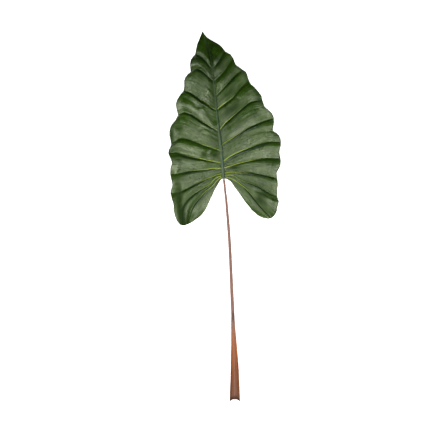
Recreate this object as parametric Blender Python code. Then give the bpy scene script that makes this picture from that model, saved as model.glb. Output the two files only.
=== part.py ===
import math

import bpy
import numpy as np

# Driving dimensions, in metres
leaf_length = 1.0365
blade_thickness = 0.0012
midrib_width = 0.0068
midrib_rise = 0.0024
midrib_keel = 0.0026
vein_rise = 0.0011
margin_wave = 0.0062
margin_curl = 0.0012
channel_depth = 0.0012
channel_reach = 3.4
stem_top_height = 0.0217
stem_gap = 0.00035
sheath_wall = 0.0026
sheath_sink = 0.0008

# The plan was read off the picture in its own points, right and down, and is scaled here
plan_length = 370.3
plan_centre = (224.6, 216.15)
metres_per_point = leaf_length / plan_length

across_count = 15
rib_share = 0.07
bulge_share = 0.24

# Midrib, from the tip to the top of the stem
midrib_plan = [
    (202.5, 31), (205.5, 40), (208, 47), (210.5, 57), (212.2, 69), (213.7, 81),
    (215.3, 96), (216.6, 110), (218.9, 131), (220.9, 146), (222.2, 162), (223.2, 173),
    (223.7, 179.3),
]

# Stations down the midrib, with the faces between one and the next
stations = [31, 69, 81, 96, 110, 131, 146, 151, 162.5, 168.2, 173.2, 175.4, 177.3, 179.3]
station_faces = [6, 5, 4, 4, 6, 5, 2, 5, 5, 5, 5, 5, 5]

# Side veins, each from its station to the margin. The last line is the edge of the notch
left_veins = {
    1: [(208, 63.5), (204, 59), (200, 56.5), (195.2, 54.5)],
    2: [(209, 77.5), (205, 73.5), (201, 70.5), (196, 69), (190.6, 72)],
    4: [(211, 107.5), (206, 104), (200, 100.5), (195, 96.5), (189, 92.5), (183.5, 91)],
    5: [(214, 128.5), (208, 125), (202, 121.5), (196, 117.5), (190, 114), (184, 112.5),
        (178, 115)],
    7: [(216, 149), (210, 147), (204, 145), (198, 142.5), (192, 140), (186, 138),
        (179, 139), (171.2, 144)],
    8: [(216, 162), (211, 161), (206, 160), (202, 159), (196, 157.8), (190, 156.5),
        (184, 155), (177, 152.5), (168.3, 153)],
    9: [(214, 168.5), (208, 169.3), (200, 170), (194, 170.3), (188, 171), (184, 171.8),
        (177, 173.5), (170.2, 174)],
    10: [(217, 175), (213.3, 176.7), (208, 178.6), (201.7, 181.4), (193.3, 185.6),
         (186, 189), (178, 192), (170.4, 193)],
    11: [(219.4, 176.6), (215.8, 178), (213.3, 180.3), (211, 183.4), (207.5, 185.8),
         (201.7, 188.8), (195.8, 192.5), (189.2, 197.5), (184.2, 203.3), (182, 208.3),
         (181.6, 214), (182.3, 225.4)],
    12: [(220.6, 178), (217.3, 180.4), (214.6, 183.8), (212.5, 186.3), (209.2, 189),
         (205, 192), (200.8, 196.9), (195.8, 202.3), (191.7, 208.5), (189.6, 215),
         (187.6, 224.4)],
    13: [(222.3, 178.9), (221, 179.8), (219.7, 181.4), (218.5, 183.5), (216.5, 187),
         (214.5, 190.5), (212.5, 195), (210.5, 199), (208.5, 203.5), (206.5, 208),
         (204, 212), (200, 216.5), (196, 219.5), (193.5, 221.5)],
}
right_veins = {
    1: [(216.7, 63.3), (221.7, 56.7), (225.5, 52)],
    2: [(219.5, 76), (224.5, 70.5), (229.2, 64.2), (233.4, 58.6)],
    3: [(221.7, 90.2), (226.7, 84.6), (231.7, 79.5), (236.7, 74.8), (243.2, 70.4)],
    4: [(221, 106.4), (225, 103.4), (231.7, 98.3), (237.5, 91.9), (242, 87), (249, 80.8)],
    5: [(223.3, 125.4), (229.2, 119.8), (235, 114.6), (243.3, 107.7), (250, 102.6),
        (262.4, 100.6)],
    6: [(223.5, 144), (229.2, 140.2), (235, 136.8), (241.7, 132.6), (247.5, 128.7),
        (255.8, 125), (262.5, 122), (274, 118.6)],
    8: [(224.6, 160.4), (230.8, 156.2), (239.2, 151.9), (247.5, 148.6), (255.8, 145.4),
        (264.2, 142.8), (280.9, 142.2)],
    9: [(226, 167.4), (230.8, 166.2), (236.7, 164.3), (243.3, 162.4), (250, 161),
        (258.3, 159.4), (280.5, 158.4)],
    10: [(226, 173), (232.5, 172.5), (240, 172.4), (248.3, 172.6), (252.5, 173.3),
         (260, 174.7), (277.1, 178.4)],
    11: [(227, 175.2), (230.8, 175.4), (235, 177.1), (240, 180), (245, 182.1),
         (251.7, 184.4), (258, 187), (264.2, 190.4), (271, 194.2), (277.2, 196.6)],
    12: [(226.4, 177.2), (229.5, 178), (233, 179.7), (237, 182.2), (240.6, 184.8),
         (244.4, 187.6), (248.4, 191.6), (252.5, 196.6), (258, 203.5), (264, 210.5),
         (271.5, 218.2)],
    13: [(225.2, 178.9), (227, 179.3), (229, 180.4), (231, 182.2), (233, 185), (235.5, 188.5),
         (238.5, 192.5), (241.5, 196.8), (245, 202), (248.5, 206), (251.5, 210),
         (255.5, 213.5), (259.5, 216.5), (263.5, 218.2)],
}

# Margins, from the tip past the side veins to the foot of each lobe
left_margin = [
    (202.5, 31), (201, 35), (199, 40), (197, 45), (196, 50), (195.2, 54.5), (193, 57),
    (191, 60), (190, 64.5), (190.2, 68), (190.6, 72), (188, 74.5), (185.3, 78),
    (184.2, 81), (184.2, 87), (183.5, 91), (180.5, 95), (177.5, 99.5), (176.2, 103),
    (176, 106), (176.7, 110), (178, 115), (175.5, 120.5), (172, 124.5), (170.3, 128),
    (169.5, 132), (169.5, 135.5), (170.3, 139), (171.2, 144), (170.5, 147), (169, 150),
    (168.3, 153), (169, 155.5), (170.5, 158.5), (172.2, 163), (170.6, 168), (170.2, 174),
    (170.7, 177), (172, 182), (172.5, 185), (171.5, 188.5), (170.4, 193), (172.2, 200),
    (173.7, 205), (173.6, 210), (174.8, 215), (176.5, 220), (178.5, 223), (180.5, 225),
    (182.3, 225.4), (184.5, 225.6), (187.6, 224.4), (190.5, 223.2), (193.5, 221.5),
]
right_margin = [
    (202.5, 31), (205, 35), (208, 38.3), (211, 40.2), (215, 42.5), (219, 44.8),
    (221.5, 46.8), (223.5, 49.5), (225.5, 52), (228, 53.6), (230.5, 54.8), (233.4, 58.6),
    (235, 63.5), (236, 65.5), (239, 67.5), (243.2, 70.4), (245.5, 72), (246.8, 74.3),
    (249, 80.8), (251, 85), (254, 87.2), (256.5, 90), (259, 93), (261.3, 96),
    (262.4, 100.6), (264.3, 107), (267.5, 109.5), (271.5, 113), (273.2, 116),
    (274, 118.6), (273.8, 124), (272.8, 128), (272.8, 131), (276, 133), (279, 135.5),
    (280.5, 139), (280.9, 142.2), (280.6, 146), (279.7, 149), (279.2, 152.5),
    (279.8, 156), (280.5, 158.4), (280.6, 163.5), (279.7, 167), (278, 170), (276.5, 173),
    (277.1, 178.4), (277.8, 185), (276.9, 189), (277.2, 196.6), (278.7, 201.5),
    (277.2, 207.5), (276.7, 211), (275, 215), (271.5, 218.2), (268, 218.9),
    (263.5, 218.2),
]

# Height of the midrib above the floor, at plan points from tip to stem
midrib_height = [
    (31, 0.003), (38, 0.0085), (48, 0.0150), (58, 0.0200), (70, 0.0235), (85, 0.0255),
    (105, 0.0268), (140, 0.0268), (160, 0.0250), (179.3, 0.0215),
]

# The panel under each vein bulges: how high, where its rise ends and its fall starts, and its dip
left_panels = {
    0: (0.0082, 0.40, 0.66, 0.0), 1: (0.0056, 0.25, 0.40, 0.0), 2: (0.0088, 0.13, 0.20, 0.0014),
    4: (0.0092, 0.18, 0.26, 0.0016), 5: (0.0078, 0.16, 0.26, 0.0016), 7: (0.0080, 0.22, 0.34, 0.0014),
    8: (0.0086, 0.30, 0.40, 0.0008), 9: (0.0060, 0.18, 0.28, 0.0014), 10: (0.0062, 0.20, 0.32, 0.0014),
    11: (0.0046, 0.28, 0.48, 0.0004), 12: (0.0040, 0.14, 0.42, 0.0016),
}
right_panels = {
    0: (0.0062, 0.45, 0.72, 0.0), 1: (0.0056, 0.30, 0.45, 0.0006), 2: (0.0062, 0.30, 0.45, 0.0004),
    3: (0.0062, 0.25, 0.40, 0.0006), 4: (0.0072, 0.22, 0.36, 0.0008), 5: (0.0080, 0.18, 0.28, 0.0016),
    6: (0.0090, 0.17, 0.27, 0.0018), 8: (0.0080, 0.22, 0.30, 0.0018), 9: (0.0060, 0.18, 0.28, 0.0016),
    10: (0.0072, 0.20, 0.30, 0.0010), 11: (0.0064, 0.20, 0.42, 0.0010), 12: (0.0042, 0.14, 0.40, 0.0014),
}

# Broad swellings and dents: plan point, reach in points, height
dents = [
    ((188, 106), 6.0, 0.0030), ((176.5, 139), 5.0, 0.0022), ((258, 98), 5.5, 0.0030),
    ((243, 75), 5.0, 0.0025), ((262, 200), 6.0, 0.0032), ((186, 155), 8.0, -0.0012),
    ((194, 213), 6.0, -0.0014), ((252, 90), 8.0, -0.0014), ((268, 116), 6.5, -0.0016),
    ((270, 160), 9.0, -0.0012),
]

# Folds across the panels: plan points, half width in points, height
folds = [
    ([(203, 110), (206, 115), (209, 120), (214, 127)], 2.2, 0.0018),
    ([(184, 98.5), (190, 101), (197, 107)], 2.6, -0.0022),
    ([(256, 190.7), (262, 192.7), (268, 195.5), (275, 199)], 2.2, -0.0018),
    ([(179, 163), (175.5, 178), (178, 188), (180, 200), (181, 212), (182.5, 224)], 2.8, 0.0024),
    ([(174, 135), (182, 137.5), (192, 141.5)], 3.0, -0.0016),
    ([(172, 149.5), (180, 152), (190, 155), (200, 158)], 2.6, -0.0014),
]

# Height of the margin at each station, from tip to notch
left_margin_height = [0.003, 0.008, 0.007, 0.007, 0.009, 0.009, 0.008, 0.008, 0.010,
                      0.009, 0.008, 0.004, 0.005, 0.007]
right_margin_height = [0.003, 0.009, 0.008, 0.009, 0.010, 0.010, 0.009, 0.009, 0.011,
                       0.012, 0.011, 0.009, 0.004, 0.006]

# Stem, from the midrib's foot to the sheath's cut end: plan row, centre, half width
stem_rows = [
    (179.3, 223.85, 1.25), (184, 224.45, 1.2), (190, 225.0, 1.2), (200, 226.2, 1.3),
    (210, 227.0, 1.35), (220, 227.9, 1.45), (230, 228.7, 1.5), (242, 229.5, 1.5),
    (256, 230.3, 1.55), (270, 230.9, 1.6), (285, 231.5, 1.7), (300, 232.2, 1.78),
    (308, 232.6, 1.78), (315, 232.8, 1.75), (320, 232.95, 1.9), (325, 233.1, 2.15),
    (330, 233.3, 2.35), (335, 233.5, 2.6), (345, 234.0, 3.05), (355, 234.3, 3.6),
    (360, 234.45, 3.83), (365, 234.6, 4.1), (370, 234.7, 4.33), (375, 234.75, 4.47),
    (380, 234.78, 4.63), (385, 234.8, 4.9), (393, 234.8, 5.17), (397, 234.78, 5.3),
    (401.3, 234.75, 5.4),
]
sheath_start = 314
sheath_full = 372
end_notch = 2.3


def toWorld(points):
    flat = np.asarray(points, float)
    return np.stack([
        (flat[..., 0] - plan_centre[0]) * metres_per_point,
        (plan_centre[1] - flat[..., 1]) * metres_per_point,
    ], axis=-1)


def chordShares(points):
    steps = np.linalg.norm(np.diff(points, axis=0), axis=1)
    total = np.concatenate([[0], np.cumsum(steps)])
    return total / total[-1]


def smoothAlong(points, shares):
    """A curve through the points, read at shares of its length."""
    points = np.asarray(points, float)
    knots = chordShares(points)
    slopes = np.gradient(points, knots, axis=0)
    shares = np.clip(shares, 0, 1)
    spot = np.clip(np.searchsorted(knots, shares, side="right") - 1, 0, len(knots) - 2)
    width = (knots[spot + 1] - knots[spot])[:, None]
    t = ((shares - knots[spot]) / width[:, 0])[:, None]
    return (
        (2 * t**3 - 3 * t**2 + 1) * points[spot]
        + (t**3 - 2 * t**2 + t) * width * slopes[spot]
        + (3 * t**2 - 2 * t**3) * points[spot + 1]
        + (t**3 - t**2) * width * slopes[spot + 1]
    )


def straightAlong(points, shares):
    points = np.asarray(points, float)
    knots = chordShares(points)
    return np.stack([np.interp(shares, knots, points[:, k]) for k in range(2)], axis=1)


def easeStep(low, high, value):
    t = np.clip((value - low) / (high - low), 0, 1)
    return t * t * (3 - 2 * t)


def midribAt(rows):
    line = np.asarray(midrib_plan)
    fine = smoothAlong(line, np.linspace(0, 1, 400))
    return np.stack([np.interp(rows, fine[:, 1], fine[:, 0]), rows], axis=-1)


def distanceToLine(points, line):
    start, step = line[:-1], np.diff(line, axis=0)
    offset = points[..., None, :] - start
    share = np.clip((offset * step).sum(-1) / (step**2).sum(-1), 0, 1)
    gap = np.linalg.norm(offset - share[..., None] * step, axis=-1)
    return gap.min(axis=-1)


def distanceToMidrib(points):
    return distanceToLine(points, smoothAlong(midrib_plan, np.linspace(0, 1, 160)))


def halfWidthAt(rows):
    """Half width of the midrib in plan points: it thins towards the tip."""
    full = midrib_width / 2 / metres_per_point
    return full * np.interp(rows, [31, 60, 100, 140, 180], [0.18, 0.34, 0.58, 0.8, 1.0])


def rowPositions():
    """Station number of each row of the blade, closer together beside a vein."""
    found = []
    for number, count in enumerate(station_faces):
        inner = np.linspace(bulge_share, 1 - rib_share, count - 1)
        found += [number, number + rib_share] + list(number + inner)
    return np.array(found + [len(station_faces)])


def marginShare(margin, spot):
    """Share of the margin's length at the margin point nearest to spot."""
    margin = np.asarray(margin)
    near = np.linalg.norm(margin - np.asarray(spot), axis=1).argmin()
    return chordShares(margin)[near]


def planRow(position, veins, margin, shares):
    """Plan points of one row, blended between the veins above and below it."""
    numbers = [0] + sorted(veins)
    upper = max(n for n in numbers if n <= position)
    lower = upper if upper == position else min(n for n in numbers if n > position)
    weight = 0 if upper == lower else (position - upper) / (lower - upper)
    rows = []
    ends = []
    for number in (upper, lower):
        if number == 0:
            rows.append(np.repeat([midrib_plan[0]], len(shares), axis=0))
            ends.append(0.0)
            continue
        line = [midribAt(np.array(float(stations[number])))] + veins[number]
        rows.append(smoothAlong(line, shares))
        ends.append(marginShare(margin, veins[number][-1]))
    blend = (1 - weight) * rows[0] + weight * rows[1]
    row_y = np.interp(position, range(len(stations)), stations)
    inner = midribAt(np.array(float(row_y)))
    outer = straightAlong(margin, np.array([(1 - weight) * ends[0] + weight * ends[1]]))[0]
    t = shares[:, None]
    return blend + (1 - t) * (inner - blend[0]) + t * (outer - blend[-1]), weight, upper


def acrossShares(position, veins, margin):
    """Shares along a row: the first few follow the midrib's round back."""
    probe = np.linspace(0, 0.5, 60)
    line = planRow(position, veins, margin, probe)[0]
    length = np.linalg.norm(np.diff(line, axis=0), axis=1).sum() * 2
    gap = np.maximum.accumulate(distanceToMidrib(line)) + probe * 1e-6
    half = halfWidthAt(line[0, 1])
    near = np.interp(half * np.array([0.6, 1.0, 1.7]), gap, probe)
    near = np.minimum(near, [0.06, 0.12, 0.2])
    rest = near[-1] + (1 - near[-1]) * np.linspace(0, 1, across_count - 3)[1:] ** 0.95
    return np.concatenate([[0], near, rest]), length


def panelHeight(panel, weight, along):
    """Bulge between two side veins: steep under the upper one, then a long fall."""
    height, rise_end, fall_start, dip = panel
    fallen = max(weight - fall_start, 0) / (1 - fall_start)
    bulge = easeStep(0, rise_end, weight) * (1 - fallen**1.5)
    reach = easeStep(0.02, 0.22, along) * (0.85 + 0.35 * along)
    return (height * bulge - dip * math.sin(math.pi * weight) ** 0.8) * reach


def localHeight(points):
    height = np.zeros(len(points))
    for spot, reach, rise in dents:
        gap = np.linalg.norm(points - np.array(spot, float), axis=1)
        height += rise * np.exp(-((gap / reach) ** 2))
    for line, half_width, rise in folds:
        gap = distanceToLine(points, smoothAlong(line, np.linspace(0, 1, 24)))
        height += rise * np.exp(-((gap / half_width) ** 2))
    return height


def bladeHalf(veins, margin, margin_heights, panels):
    """Plan points and top heights of one half, row by row from the tip to the notch."""
    rest_x, rest_z = zip(*midrib_height)
    plan, top, keel = [], [], []
    for position in rowPositions():
        shares, length = acrossShares(position, veins, margin)
        points, weight, upper = planRow(position, veins, margin, shares)
        spine = np.interp(points[0, 1], rest_x, rest_z)
        edge = np.interp(position, range(len(stations)), margin_heights)
        grown = min(1.0, length / 34)
        rise = 0.0035 * grown * np.sin(math.pi * shares ** 0.8) * (1 - shares)
        height = spine + (edge - spine) * shares**1.8 + rise
        panel = panels[min(upper, len(station_faces) - 1)]
        height = height + panelHeight(panel, weight, shares) * grown + localHeight(points)
        to_midrib = distanceToMidrib(points)
        reach = channel_reach * np.interp(position, [0, 1, 8, 12, 13], [0.3, 0.7, 1, 0.8, 0.5])
        channel = channel_depth * reach / channel_reach
        height = height - channel * np.exp(-((to_midrib / reach) ** 2))
        height = height + margin_wave * grown * math.sin(math.pi * weight) * shares**3
        height = height - margin_curl * grown * easeStep(0.9, 1.0, shares) ** 2
        if weight == 0 and position not in (0, len(station_faces)):
            height = height + vein_rise * (1 - shares) ** 0.6 * easeStep(0, 0.08, shares)
        half = halfWidthAt(points[0, 1])
        round_back = np.sqrt(np.clip(1 - (to_midrib / half) ** 2, 0, 1))
        slim = half * metres_per_point * 2 / midrib_width
        plan.append(points)
        top.append(height + midrib_rise * slim * round_back)
        keel.append(blade_thickness + (midrib_rise + midrib_keel) * slim * round_back)
    return np.array(plan), np.array(top), np.array(keel)


def settle(halves):
    """Drops the blade until its tip and both lobes touch the floor, and lifts any lower edge."""
    left, right = halves
    lobe_rows = rowPositions() > 10
    feet = []
    for plan, top, keel in halves:
        low = np.where(lobe_rows[:, None], top - keel, 1.0)
        spot = np.unravel_index(low.argmin(), low.shape)
        feet.append((*plan[spot], low[spot]))
    tip_low = (left[1] - left[2])[0, 0]
    feet.append((*left[0][0, 0], tip_low))
    feet = np.array(feet)
    plane = np.linalg.solve(np.column_stack([feet[:, :2], np.ones(3)]), feet[:, 2])
    found = []
    for plan, top, keel in halves:
        under = top - keel - (plan @ plane[:2] + plane[2])
        at_foot = np.zeros(under.shape, bool)
        for x, y, _ in feet:
            at_foot |= np.linalg.norm(plan - [x, y], axis=-1) < 1e-6
        soft = 0.0016
        lifted = np.where(under < soft, soft * np.exp(np.minimum(under / soft - 1, 0)), under)
        found.append((plan, np.where(at_foot, 0.0, lifted) + keel, keel))
    return found


def buildBlade():
    left = bladeHalf(left_veins, left_margin, left_margin_height, left_panels)
    right = bladeHalf(right_veins, right_margin, right_margin_height, right_panels)
    left, right = settle([left, right])
    vertices, numbers = [], {}

    def vertex(x, y, z):
        key = (round(x, 7), round(y, 7), round(z, 7))
        if key not in numbers:
            numbers[key] = len(vertices)
            vertices.append((x, y, z))
        return numbers[key]

    faces = []

    def face(*corners):
        ring = [c for k, c in enumerate(corners) if c != corners[k - 1]]
        if len(set(ring)) > 2:
            faces.append(ring)

    for side, (plan, top, keel) in ((-1, left), (1, right)):
        world = toWorld(plan)
        upper, lower = [], []
        for row, high, deep in zip(world, top, keel):
            upper.append([vertex(x, y, z) for (x, y), z in zip(row, high)])
            lower.append([vertex(x, y, z - d) for (x, y), z, d in zip(row, high, deep)])
        rows, columns = len(upper), len(upper[0])
        for i in range(rows - 1):
            for j in range(columns - 1):
                for sheet, turn in ((upper, side), (lower, -side)):
                    a, b = sheet[i][j], sheet[i][j + 1]
                    c, d = sheet[i + 1][j + 1], sheet[i + 1][j]
                    for corners in ((a, b, c), (a, c, d)):
                        face(*(corners if turn < 0 else corners[::-1]))
        rims = [([row[-1] for row in upper], [row[-1] for row in lower], side)]
        rims.append((upper[-1], lower[-1], -side))
        for high, low, turn in rims:
            for k in range(len(high) - 1):
                for corners in ((high[k], low[k], low[k + 1]), (high[k], low[k + 1], high[k + 1])):
                    face(*(corners if turn < 0 else corners[::-1]))
    return vertices, faces


def stemHeights():
    """Centre height of the stem at each row, from under the midrib down to the sheath."""
    rows = np.array([row[0] for row in stem_rows], float)
    rows[0] += stem_gap / metres_per_point
    half = np.array([row[2] for row in stem_rows]) * metres_per_point
    deep = half * np.interp(rows, [sheath_start, 360, 401.3], [0.95, 0.6, 0.5])
    end_height = deep[-1] - sheath_sink
    fall = np.clip((rows - rows[0]) / (345 - rows[0]), 0, 1)
    centre = stem_top_height + (end_height - stem_top_height) * (1 - (1 - fall) ** 1.35)
    lowest = deep - sheath_sink * easeStep(330, 360, rows)
    return rows, half, deep, np.maximum(centre, lowest)


def buildStem():
    rows, half, deep, centre = stemHeights()
    angles = np.radians(np.linspace(-75, 75, 13))
    shape = (np.cos(angles) - math.cos(angles[-1])) / (1 - math.cos(angles[-1]))
    vertices, rings = [], []
    for k, row in enumerate(rows):
        middle = np.interp(row, rows, [r[1] for r in stem_rows])
        opened = float(easeStep(sheath_start, sheath_full, row))
        cut = end_notch * float(easeStep(380, 401.3, row))
        lip_height = (1 - opened) * 0.13 * deep[k] + opened * 0.75 * deep[k]
        lip = 0.0011 * opened
        side = math.sin(angles[-1])

        def place(x, z):
            share = abs(x) / (half[k] * side)
            y = row - cut * (1 - share**1.4)
            wx, wy = toWorld((middle, y))
            vertices.append((wx + x, wy, max(centre[k] + z, 0.0)))
            return len(vertices) - 1

        outer = []
        for angle in angles:
            groove = 1 + 0.035 * math.cos(9 * angle) * (1 - opened)
            outer.append(place(half[k] * math.sin(angle), -deep[k] * math.cos(angle) * groove))
        lip_left = place(-half[k] * side, lip_height)
        lip_right = place(half[k] * side, lip_height)
        inner = []
        for angle, part in zip(angles, shape):
            x = (half[k] - lip / side) * math.sin(angle)
            closed_z = deep[k] * math.cos(angle) * (1 + 0.035 * math.cos(9 * angle))
            ridge = 0.0007 * math.cos(7 * angle) * part
            open_z = lip_height - (lip_height + deep[k] - sheath_wall) * part + ridge
            inner.append(place(x, (1 - opened) * closed_z + opened * open_z))
        rings.append(outer + [lip_right] + inner[::-1] + [lip_left])
    faces = []
    size = len(rings[0])
    for first, second in zip(rings, rings[1:]):
        for k in range(size):
            n = (k + 1) % size
            faces.append((first[k], first[n], second[n]))
            faces.append((first[k], second[n], second[k]))
    count = len(angles)
    for ring, turn in ((rings[0], 1), (rings[-1], -1)):
        low = ring[:count]
        high = ring[count + 1:2 * count + 1][::-1]
        cap = [(low[k], high[k], high[k + 1]) for k in range(count - 1)]
        cap += [(low[k], high[k + 1], low[k + 1]) for k in range(count - 1)]
        cap.append((low[0], ring[-1], high[0]))
        cap.append((low[-1], high[-1], ring[count]))
        faces += [corners[::turn] for corners in cap]
    return vertices, faces


def addNode(name, vertices, faces, colour, roughness):
    mesh = bpy.data.meshes.new(name)
    mesh.from_pydata(vertices, [], faces)
    mesh.validate()
    mesh.shade_smooth()
    node = bpy.data.objects.new(name, mesh)
    bpy.context.scene.collection.objects.link(node)
    material = bpy.data.materials.new(name)
    material.use_nodes = True
    shader = material.node_tree.nodes["Principled BSDF"]
    shader.inputs["Base Color"].default_value = (*colour, 1)
    shader.inputs["Roughness"].default_value = roughness
    mesh.materials.append(material)
    return node


for old in list(bpy.data.objects):
    bpy.data.objects.remove(old)

addNode("leaf_blade", *buildBlade(), (0.035, 0.085, 0.018), 0.45)
addNode("petiole", *buildStem(), (0.24, 0.11, 0.07), 0.5)
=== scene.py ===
import math

import bpy
import numpy as np
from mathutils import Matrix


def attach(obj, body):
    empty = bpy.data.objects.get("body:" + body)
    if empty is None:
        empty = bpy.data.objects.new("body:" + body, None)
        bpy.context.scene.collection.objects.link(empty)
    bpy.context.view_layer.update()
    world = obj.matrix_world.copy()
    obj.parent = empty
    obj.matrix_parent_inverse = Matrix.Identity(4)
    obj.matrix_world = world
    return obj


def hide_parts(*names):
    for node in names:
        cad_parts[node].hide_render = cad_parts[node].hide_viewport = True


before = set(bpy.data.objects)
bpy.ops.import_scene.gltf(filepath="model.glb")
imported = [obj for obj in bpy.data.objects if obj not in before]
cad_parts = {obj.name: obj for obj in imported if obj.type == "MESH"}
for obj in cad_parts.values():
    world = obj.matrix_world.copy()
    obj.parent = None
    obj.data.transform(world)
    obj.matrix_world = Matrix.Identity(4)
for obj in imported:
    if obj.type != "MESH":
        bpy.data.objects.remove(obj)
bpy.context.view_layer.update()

# The plan was read off the picture in its own points, right and down
leafLength = 1.0365  # metres, tip to cut end
planLength = 370.3  # the same length in points
planCentre = (224.6, 216.15)
metresPerPoint = leafLength / planLength
pictureSize = 430

midribPlan = [
    (202.5, 31), (205.5, 40), (208, 47), (210.5, 57), (212.2, 69), (213.7, 81),
    (215.3, 96), (216.6, 110), (218.9, 131), (220.9, 146), (222.2, 162), (223.2, 173),
    (223.7, 179.3),
]
# Rows where a side vein leaves the midrib, from the tip down. A place on the blade is given by
# station: 3.5 is midway between stations 3 and 4
stations = [31, 69, 81, 96, 110, 131, 146, 151, 162.5, 168.2, 173.2, 175.4, 177.3, 179.3]
lastStation = len(stations) - 1

# Side veins, each from its station to the margin. The last is the edge of the notch
leftVeins = {
    1: [(208, 63.5), (204, 59), (200, 56.5), (195.2, 54.5)],
    2: [(209, 77.5), (205, 73.5), (201, 70.5), (196, 69), (190.6, 72)],
    4: [(211, 107.5), (206, 104), (200, 100.5), (195, 96.5), (189, 92.5), (183.5, 91)],
    5: [(214, 128.5), (208, 125), (202, 121.5), (196, 117.5), (190, 114), (184, 112.5),
        (178, 115)],
    7: [(216, 149), (210, 147), (204, 145), (198, 142.5), (192, 140), (186, 138),
        (179, 139), (171.2, 144)],
    8: [(216, 162), (211, 161), (206, 160), (202, 159), (196, 157.8), (190, 156.5),
        (184, 155), (177, 152.5), (168.3, 153)],
    9: [(214, 168.5), (208, 169.3), (200, 170), (194, 170.3), (188, 171), (184, 171.8),
        (177, 173.5), (170.2, 174)],
    10: [(217, 175), (213.3, 176.7), (208, 178.6), (201.7, 181.4), (193.3, 185.6),
         (186, 189), (178, 192), (170.4, 193)],
    11: [(219.4, 176.6), (215.8, 178), (213.3, 180.3), (211, 183.4), (207.5, 185.8),
         (201.7, 188.8), (195.8, 192.5), (189.2, 197.5), (184.2, 203.3), (182, 208.3),
         (181.6, 214), (182.3, 225.4)],
    12: [(220.6, 178), (217.3, 180.4), (214.6, 183.8), (212.5, 186.3), (209.2, 189),
         (205, 192), (200.8, 196.9), (195.8, 202.3), (191.7, 208.5), (189.6, 215),
         (187.6, 224.4)],
    13: [(222.3, 178.9), (221, 179.8), (219.7, 181.4), (218.5, 183.5), (216.5, 187),
         (214.5, 190.5), (212.5, 195), (210.5, 199), (208.5, 203.5), (206.5, 208),
         (204, 212), (200, 216.5), (196, 219.5), (193.5, 221.5)],
}
rightVeins = {
    1: [(216.7, 63.3), (221.7, 56.7), (225.5, 52)],
    2: [(219.5, 76), (224.5, 70.5), (229.2, 64.2), (233.4, 58.6)],
    3: [(221.7, 90.2), (226.7, 84.6), (231.7, 79.5), (236.7, 74.8), (243.2, 70.4)],
    4: [(221, 106.4), (225, 103.4), (231.7, 98.3), (237.5, 91.9), (242, 87), (249, 80.8)],
    5: [(223.3, 125.4), (229.2, 119.8), (235, 114.6), (243.3, 107.7), (250, 102.6),
        (262.4, 100.6)],
    6: [(223.5, 144), (229.2, 140.2), (235, 136.8), (241.7, 132.6), (247.5, 128.7),
        (255.8, 125), (262.5, 122), (274, 118.6)],
    8: [(224.6, 160.4), (230.8, 156.2), (239.2, 151.9), (247.5, 148.6), (255.8, 145.4),
        (264.2, 142.8), (280.9, 142.2)],
    9: [(226, 167.4), (230.8, 166.2), (236.7, 164.3), (243.3, 162.4), (250, 161),
        (258.3, 159.4), (280.5, 158.4)],
    10: [(226, 173), (232.5, 172.5), (240, 172.4), (248.3, 172.6), (252.5, 173.3),
         (260, 174.7), (277.1, 178.4)],
    11: [(227, 175.2), (230.8, 175.4), (235, 177.1), (240, 180), (245, 182.1),
         (251.7, 184.4), (258, 187), (264.2, 190.4), (271, 194.2), (277.2, 196.6)],
    12: [(226.4, 177.2), (229.5, 178), (233, 179.7), (237, 182.2), (240.6, 184.8),
         (244.4, 187.6), (248.4, 191.6), (252.5, 196.6), (258, 203.5), (264, 210.5),
         (271.5, 218.2)],
    13: [(225.2, 178.9), (227, 179.3), (229, 180.4), (231, 182.2), (233, 185), (235.5, 188.5),
         (238.5, 192.5), (241.5, 196.8), (245, 202), (248.5, 206), (251.5, 210),
         (255.5, 213.5), (259.5, 216.5), (263.5, 218.2)],
}
leftMargin = [
    (202.5, 31), (201, 35), (199, 40), (197, 45), (196, 50), (195.2, 54.5), (193, 57),
    (191, 60), (190, 64.5), (190.2, 68), (190.6, 72), (188, 74.5), (185.3, 78),
    (184.2, 81), (184.2, 87), (183.5, 91), (180.5, 95), (177.5, 99.5), (176.2, 103),
    (176, 106), (176.7, 110), (178, 115), (175.5, 120.5), (172, 124.5), (170.3, 128),
    (169.5, 132), (169.5, 135.5), (170.3, 139), (171.2, 144), (170.5, 147), (169, 150),
    (168.3, 153), (169, 155.5), (170.5, 158.5), (172.2, 163), (170.6, 168), (170.2, 174),
    (170.7, 177), (172, 182), (172.5, 185), (171.5, 188.5), (170.4, 193), (172.2, 200),
    (173.7, 205), (173.6, 210), (174.8, 215), (176.5, 220), (178.5, 223), (180.5, 225),
    (182.3, 225.4), (184.5, 225.6), (187.6, 224.4), (190.5, 223.2), (193.5, 221.5),
]
rightMargin = [
    (202.5, 31), (205, 35), (208, 38.3), (211, 40.2), (215, 42.5), (219, 44.8),
    (221.5, 46.8), (223.5, 49.5), (225.5, 52), (228, 53.6), (230.5, 54.8), (233.4, 58.6),
    (235, 63.5), (236, 65.5), (239, 67.5), (243.2, 70.4), (245.5, 72), (246.8, 74.3),
    (249, 80.8), (251, 85), (254, 87.2), (256.5, 90), (259, 93), (261.3, 96),
    (262.4, 100.6), (264.3, 107), (267.5, 109.5), (271.5, 113), (273.2, 116),
    (274, 118.6), (273.8, 124), (272.8, 128), (272.8, 131), (276, 133), (279, 135.5),
    (280.5, 139), (280.9, 142.2), (280.6, 146), (279.7, 149), (279.2, 152.5),
    (279.8, 156), (280.5, 158.4), (280.6, 163.5), (279.7, 167), (278, 170), (276.5, 173),
    (277.1, 178.4), (277.8, 185), (276.9, 189), (277.2, 196.6), (278.7, 201.5),
    (277.2, 207.5), (276.7, 211), (275, 215), (271.5, 218.2), (268, 218.9),
    (263.5, 218.2),
]

outlines = {"left": (leftVeins, leftMargin), "right": (rightVeins, rightMargin)}


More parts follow.
